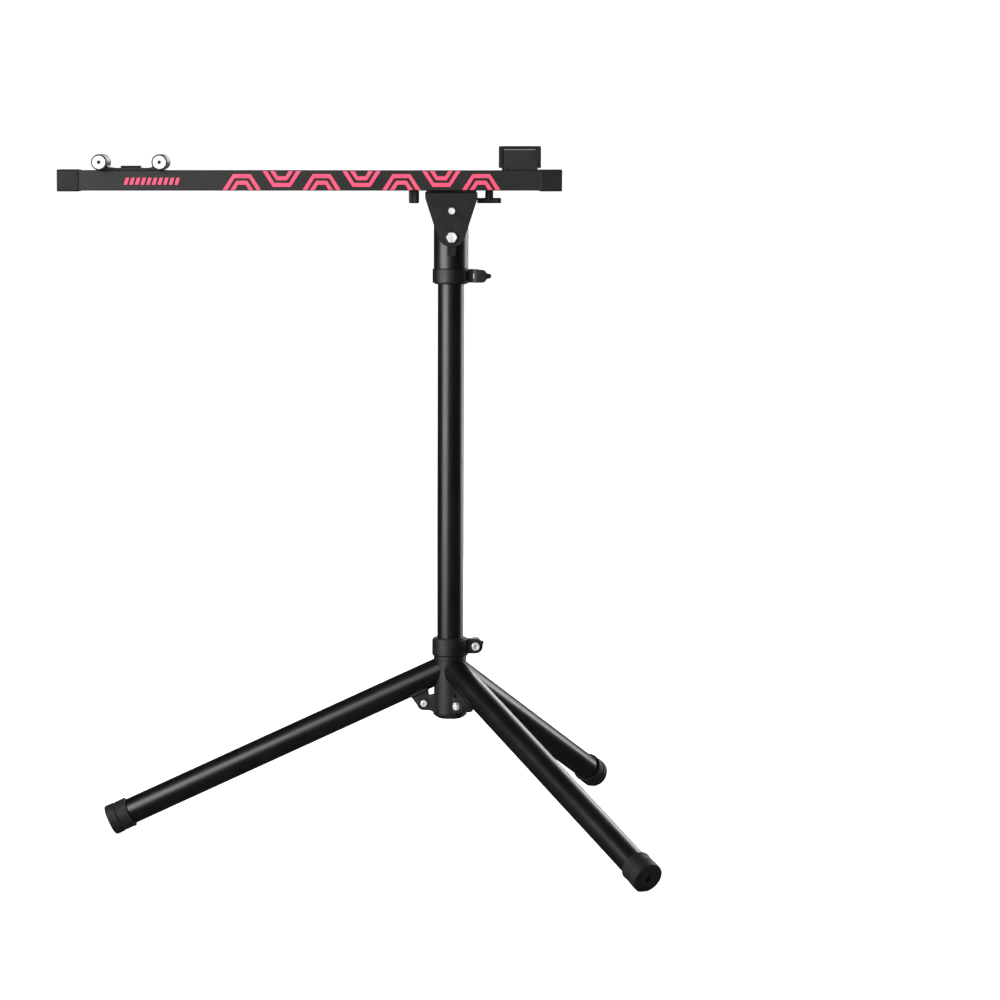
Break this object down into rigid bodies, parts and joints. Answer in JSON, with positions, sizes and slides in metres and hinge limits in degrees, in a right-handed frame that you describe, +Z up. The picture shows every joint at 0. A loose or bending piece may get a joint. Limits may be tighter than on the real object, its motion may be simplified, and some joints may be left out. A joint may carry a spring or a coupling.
{
  "type": "bike repair stand",
  "caption": "Folding tripod bike repair stand: telescoping mast, tilting slotted beam with a fork axle mount at one end and a padded bottom bracket rest at the other.",
  "frame": {"origin": "on the floor, at the centre of the footprint's box", "axes": "+Z up along the mast; +X from the axle mount's end of the beam to the rest's end; -Y towards the person at the stand"},
  "size_m": [0.8455, 0.892, 1.0073],
  "materials": {
    "gloss_black": "semi-gloss black powder coat on steel tube",
    "satin_black": "satin black coated steel and cast aluminium",
    "anodised_black": "satin black anodised extrusion",
    "black_nylon": "fine-textured black moulded nylon",
    "black_rubber": "matte black moulded rubber",
    "zinc_steel": "bright zinc-plated fasteners",
    "bright_aluminium": "bright turned aluminium",
    "pink_print": "pink pattern printed on the beam's face"
  },
  "bodies": {
    "hub": {"hub_body": "satin_black", "hub_lower_bush": "black_nylon", "hub_upper_bush": "black_nylon", "hub_clamp_collar": "satin_black", "hub_clamp_skewer": "zinc_steel", "hub_clamp_pin": "zinc_steel", "hub_clamp_washer": "black_nylon", "hub_clamp_nut": "zinc_steel", "left_leg_pivot_bolt": "zinc_steel", "left_leg_pivot_nut": "zinc_steel", "front_leg_pivot_bolt": "zinc_steel", "front_leg_pivot_nut": "zinc_steel", "rear_leg_pivot_bolt": "zinc_steel", "rear_leg_pivot_nut": "zinc_steel"},
    "hub_lever": {"hub_clamp_lever": "black_nylon"},
    "left_leg": {"left_leg_tube": "gloss_black", "left_leg_bracket": "satin_black", "left_foot_cap": "black_rubber"},
    "front_leg": {"front_leg_tube": "gloss_black", "front_leg_bracket": "satin_black", "front_foot_cap": "black_rubber"},
    "rear_leg": {"rear_leg_tube": "gloss_black", "rear_leg_bracket": "satin_black", "rear_foot_cap": "black_rubber"},
    "mast": {"mast_tube": "gloss_black", "mast_end_plug": "black_nylon"},
    "head": {"head_sleeve": "gloss_black", "head_sleeve_bush": "black_nylon", "head_clamp_collar": "satin_black", "head_clamp_skewer": "zinc_steel", "head_clamp_pin": "zinc_steel", "head_clamp_washer": "black_nylon", "head_clamp_nut": "zinc_steel", "pivot_pad_front": "black_nylon", "pivot_pad_rear": "black_nylon", "tilt_bolt": "zinc_steel", "tilt_nut": "zinc_steel", "tilt_washer": "satin_black"},
    "head_lever": {"head_clamp_lever": "black_nylon"},
    "bracket": {"head_bracket": "satin_black", "slide_bar": "anodised_black", "stop_bolt": "zinc_steel", "stop_nut": "zinc_steel", "stop_spacer": "black_nylon"},
    "thumb_lock": {"thumb_screw": "black_nylon"},
    "tee_lock": {"tee_screw": "black_nylon"},
    "beam": {"beam_extrusion": "anodised_black", "end_cap_left": "black_nylon", "end_cap_right": "black_nylon"},
    "axle_mount": {"axle_carriage": "satin_black", "carriage_tee_nut": "zinc_steel", "carriage_screw": "zinc_steel", "axle_insert_left_front": "bright_aluminium", "axle_insert_left_rear": "bright_aluminium", "axle_insert_right_front": "bright_aluminium", "axle_insert_right_rear": "bright_aluminium"},
    "bb_rest": {"rest_core": "satin_black", "rest_pad": "black_rubber", "rest_tee_nut": "zinc_steel", "rest_screw": "zinc_steel"}
  },
  "joints": [
    {"name": "left_leg_fold", "type": "hinge", "parent": "hub", "child": "left_leg", "pos_m": [0.10662, -0.00387, 0.1968], "axis": [-0.0349, -0.9994, 0], "range_deg": [0, 65]},
    {"name": "front_leg_fold", "type": "hinge", "parent": "hub", "child": "front_leg", "pos_m": [0.16429, -0.0377, 0.1968], "axis": [0.8554, 0.518, 0], "range_deg": [0, 65]},
    {"name": "rear_leg_fold", "type": "hinge", "parent": "hub", "child": "rear_leg", "pos_m": [0.16285, 0.02813, 0.1968], "axis": [-0.8771, 0.4802, 0], "range_deg": [0, 65]},
    {"name": "hub_lever_open", "type": "hinge", "parent": "hub", "child": "hub_lever", "pos_m": [0.1814, 0.0124, 0.2807], "axis": [0, 0, 1], "range_deg": [-45, 65]},
    {"name": "mast_slide", "type": "slide", "parent": "hub", "child": "mast", "axis": [0, 0, 1], "range_m": [-0.16, 0]},
    {"name": "head_turn", "type": "hinge", "parent": "mast", "child": "head", "pos_m": [0.1446, -0.0052, 0.85], "axis": [0, 0, 1], "continuous": true},
    {"name": "head_lever_open", "type": "hinge", "parent": "head", "child": "head_lever", "pos_m": [0.1814, -0.0228, 0.8205], "axis": [0, 0, -1], "range_deg": [0, 110]},
    {"name": "beam_tilt", "type": "hinge", "parent": "head", "child": "bracket", "pos_m": [0.1446, -0.0052, 0.8764], "axis": [0, -1, 0], "range_deg": [0, 90]},
    {"name": "thumb_screw_turn", "type": "hinge", "parent": "bracket", "child": "thumb_lock", "pos_m": [0.0908, -0.0052, 0.934], "axis": [0, 0, 1], "range_deg": [0, 180]},
    {"name": "tee_screw_turn", "type": "hinge", "parent": "bracket", "child": "tee_lock", "pos_m": [0.1996, -0.0052, 0.934], "axis": [0, 0, 1], "range_deg": [0, 180]},
    {"name": "beam_slide", "type": "slide", "parent": "bracket", "child": "beam", "axis": [1, 0, 0], "range_m": [-0.06, 0.1]},
    {"name": "axle_mount_slide", "type": "slide", "parent": "beam", "child": "axle_mount", "axis": [1, 0, 0], "range_m": [-0.01, 0.2]},
    {"name": "bb_rest_slide", "type": "slide", "parent": "beam", "child": "bb_rest", "axis": [1, 0, 0], "range_m": [-0.15, 0]}
  ]
}
